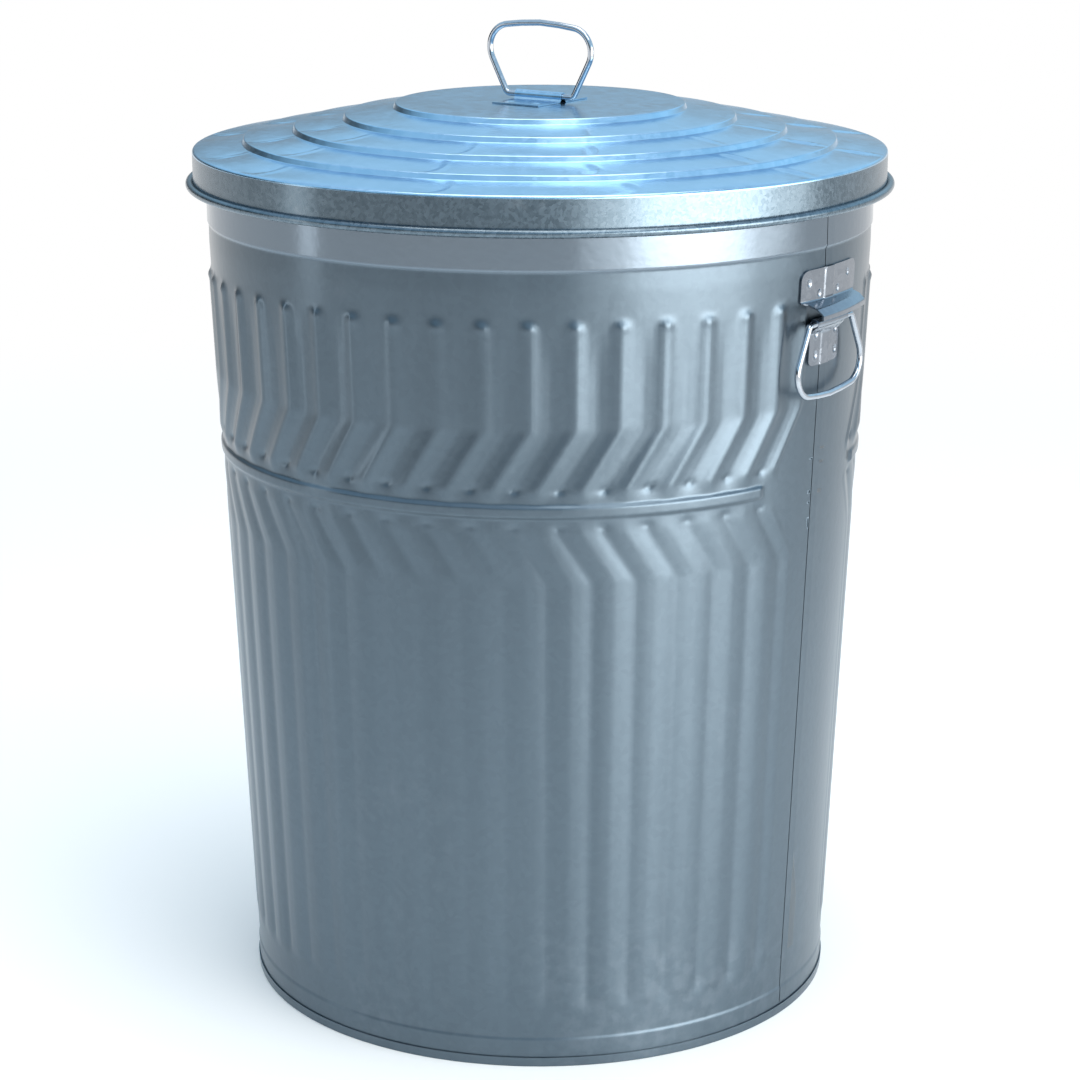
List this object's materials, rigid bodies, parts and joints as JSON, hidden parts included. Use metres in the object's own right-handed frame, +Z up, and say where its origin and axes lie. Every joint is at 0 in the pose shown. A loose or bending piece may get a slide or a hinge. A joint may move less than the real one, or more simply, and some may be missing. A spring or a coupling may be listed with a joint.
{
  "type": "trash can",
  "caption": "Round fluted sheet-metal trash can with a lift-off stepped lid and swinging wire bail handles.",
  "frame": {"origin": "centre of the footprint, on the floor", "axes": "+Z up, +X towards the right-hand side handle and its seam, -Y towards the front"},
  "size_m": [0.5484, 0.5484, 0.765],
  "materials": {
    "body_zinc": "galvanized, dull satin with faint spangle",
    "lid_zinc": "galvanized, satin with fine streaks",
    "base_zinc": "galvanized, dull satin",
    "bracket_zinc": "galvanized, satin",
    "bail_steel": "bright zinc plating",
    "rim_steel": "plain drawn wire"
  },
  "bodies": {
    "can": {"body_panel_front": "body_zinc", "body_panel_rear": "body_zinc", "bottom_pan": "base_zinc", "rim_wire": "rim_steel", "handle_stop_right": "bracket_zinc", "handle_stop_left": "bracket_zinc", "handle_clip_right": "bracket_zinc", "handle_clip_left": "bracket_zinc"},
    "lid": {"lid_shell": "lid_zinc", "lid_handle_clip": "bracket_zinc"},
    "lid_bail": {"lid_handle": "bail_steel"},
    "right_bail": {"side_handle_right": "bail_steel"},
    "left_bail": {"side_handle_left": "bail_steel"}
  },
  "joints": [
    {"name": "lid_lift", "type": "slide", "parent": "can", "child": "lid", "axis": [0, 0, 1], "range_m": [0, 0.6]},
    {"name": "lid_bail_swing", "type": "hinge", "parent": "lid", "child": "lid_bail", "pos_m": [0, 0, 0.70725], "axis": [1, 0, 0], "range_deg": [-90, 90]},
    {"name": "right_bail_swing", "type": "hinge", "parent": "can", "child": "right_bail", "pos_m": [0.26033, 0, 0.56], "axis": [0, -1, 0], "range_deg": [-3, 100]},
    {"name": "left_bail_swing", "type": "hinge", "parent": "can", "child": "left_bail", "pos_m": [-0.26033, 0, 0.56], "axis": [0, 1, 0], "range_deg": [-3, 100]}
  ]
}
